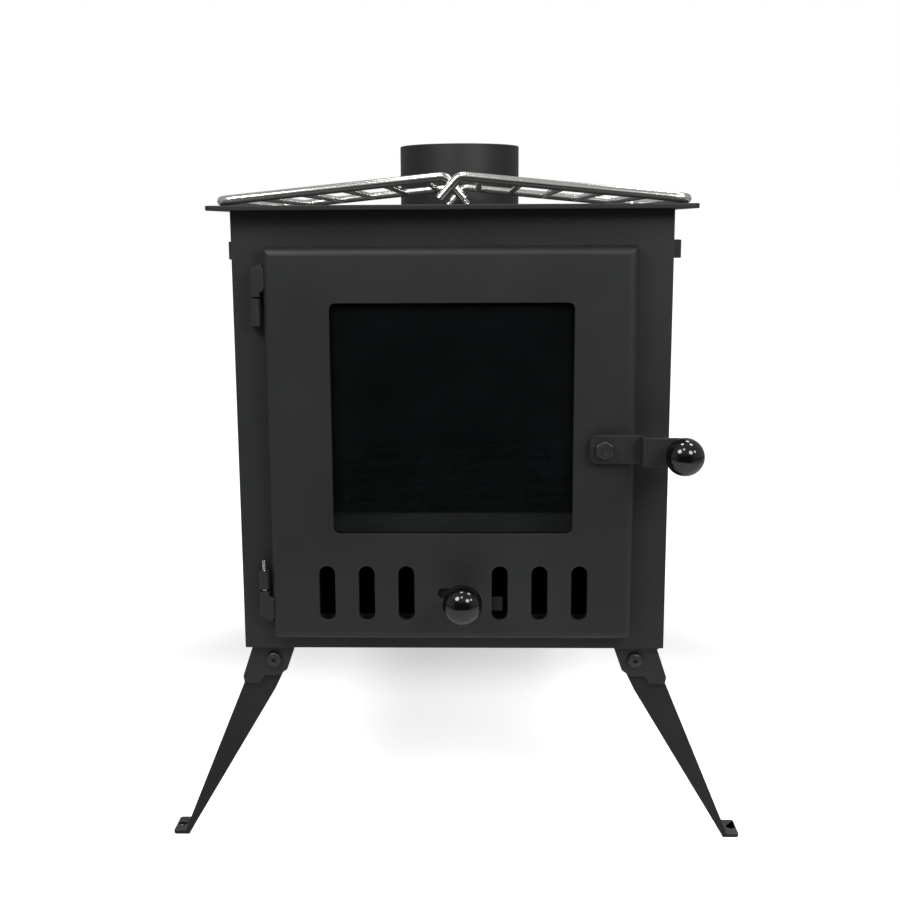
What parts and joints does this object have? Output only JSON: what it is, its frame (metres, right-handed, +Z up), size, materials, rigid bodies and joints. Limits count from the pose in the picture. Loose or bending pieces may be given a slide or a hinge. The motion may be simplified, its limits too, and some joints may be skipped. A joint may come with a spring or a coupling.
{
  "type": "portable wood-burning tent stove",
  "caption": "Sheet-steel wood stove on folding legs, with a glazed hinged door, latch bar, air slide, round flue collar and lift-off wire racks over a flat cooking top.",
  "frame": {"origin": "on the ground, under the middle of the overall box", "axes": "+Z up; -Y is the front with the door, so the flue is towards +Y; +X is to the right as seen from the front"},
  "size_m": [0.3798, 0.4718, 0.47],
  "materials": {
    "stove_paint": "matt heat-proof black paint",
    "inner_steel": "matt, heat-darkened",
    "stainless": "bright stainless wire",
    "fastener_steel": "blackened steel, satin",
    "black_ball": "polished black",
    "ceramic_glass": "clear glass ceramic",
    "glass_fibre": "knitted glass-fibre"
  },
  "bodies": {
    "stove": {"front_frame": "stove_paint", "side_wall_left": "stove_paint", "side_wall_right": "stove_paint", "back_wall": "stove_paint", "firebox_floor": "stove_paint", "top_plate": "stove_paint", "flue_collar": "stove_paint", "grate_ledge": "inner_steel", "log_guard": "inner_steel", "baffle_plate": "inner_steel", "hinge_bracket_upper": "stove_paint", "hinge_bracket_lower": "stove_paint", "hinge_pin_upper": "stainless", "hinge_pin_lower": "stainless", "rack_socket_front_left": "stove_paint", "leg_bracket_front_left": "stove_paint", "leg_bolt_front_left": "fastener_steel", "leg_nut_front_left": "fastener_steel", "rack_socket_front_right": "stove_paint", "leg_bracket_front_right": "stove_paint", "leg_bolt_front_right": "fastener_steel", "leg_nut_front_right": "fastener_steel", "rack_socket_back_left": "stove_paint", "leg_bracket_back_left": "stove_paint", "leg_bolt_back_left": "fastener_steel", "leg_nut_back_left": "fastener_steel", "rack_socket_back_right": "stove_paint", "leg_bracket_back_right": "stove_paint", "leg_bolt_back_right": "fastener_steel", "leg_nut_back_right": "fastener_steel"},
    "door": {"door_panel": "stove_paint", "glass_gasket": "glass_fibre", "door_glass": "ceramic_glass", "glass_retainer": "inner_steel", "glass_nut_low_left": "fastener_steel", "glass_nut_low_right": "fastener_steel", "glass_nut_high_left": "fastener_steel", "glass_nut_high_right": "fastener_steel", "door_rope_seal": "glass_fibre", "hinge_ear_upper": "stove_paint", "hinge_ear_lower": "stove_paint", "latch_washer": "fastener_steel"},
    "latch": {"latch_bar": "stove_paint", "latch_spacer": "fastener_steel", "latch_tongue": "inner_steel", "latch_bolt": "fastener_steel", "latch_nut": "fastener_steel", "latch_knob_stud": "fastener_steel", "latch_ball_knob": "black_ball"},
    "air_control": {"air_slide": "inner_steel", "air_knob_stud": "fastener_steel", "air_ball_knob": "black_ball", "air_stud_nut": "fastener_steel"},
    "rack_left_body": {"rack_left": "stainless"},
    "rack_right_body": {"rack_right": "stainless"},
    "grate": {"fire_grate": "inner_steel"},
    "leg_front_left_body": {"leg_front_left": "stove_paint"},
    "leg_front_right_body": {"leg_front_right": "stove_paint"},
    "leg_back_left_body": {"leg_back_left": "stove_paint"},
    "leg_back_right_body": {"leg_back_right": "stove_paint"}
  },
  "joints": [
    {"name": "door_swing", "type": "hinge", "parent": "stove", "child": "door", "pos_m": [-0.11995, -0.18915, 0.268], "axis": [0, 0, -1], "range_deg": [0, 150]},
    {"name": "latch_turn", "type": "hinge", "parent": "door", "child": "latch", "pos_m": [0.093, -0.19715, 0.2683], "axis": [0, 1, 0], "range_deg": [0, 90]},
    {"name": "air_slide_travel", "type": "slide", "parent": "door", "child": "air_control", "axis": [1, 0, 0], "range_m": [-0.0125, 0]},
    {"name": "rack_left_lift", "type": "slide", "parent": "stove", "child": "rack_left_body", "axis": [0, 0, 1], "range_m": [0, 0.06]},
    {"name": "rack_right_lift", "type": "slide", "parent": "stove", "child": "rack_right_body", "axis": [0, 0, 1], "range_m": [0, 0.06]},
    {"name": "grate_lift", "type": "slide", "parent": "stove", "child": "grate", "axis": [0, 0, 1], "range_m": [0, 0.06]},
    {"name": "leg_front_left_fold", "type": "hinge", "parent": "stove", "child": "leg_front_left_body", "pos_m": [-0.1175, -0.1741, 0.1255], "axis": [0, -1, 0], "range_deg": [0, 110]},
    {"name": "leg_front_right_fold", "type": "hinge", "parent": "stove", "child": "leg_front_right_body", "pos_m": [0.1175, -0.1741, 0.1255], "axis": [0, 1, 0], "range_deg": [0, 90]},
    {"name": "leg_back_left_fold", "type": "hinge", "parent": "stove", "child": "leg_back_left_body", "pos_m": [-0.1175, 0.2128, 0.1255], "axis": [0, -1, 0], "range_deg": [0, 110]},
    {"name": "leg_back_right_fold", "type": "hinge", "parent": "stove", "child": "leg_back_right_body", "pos_m": [0.1175, 0.2128, 0.1255], "axis": [0, 1, 0], "range_deg": [0, 90]}
  ]
}
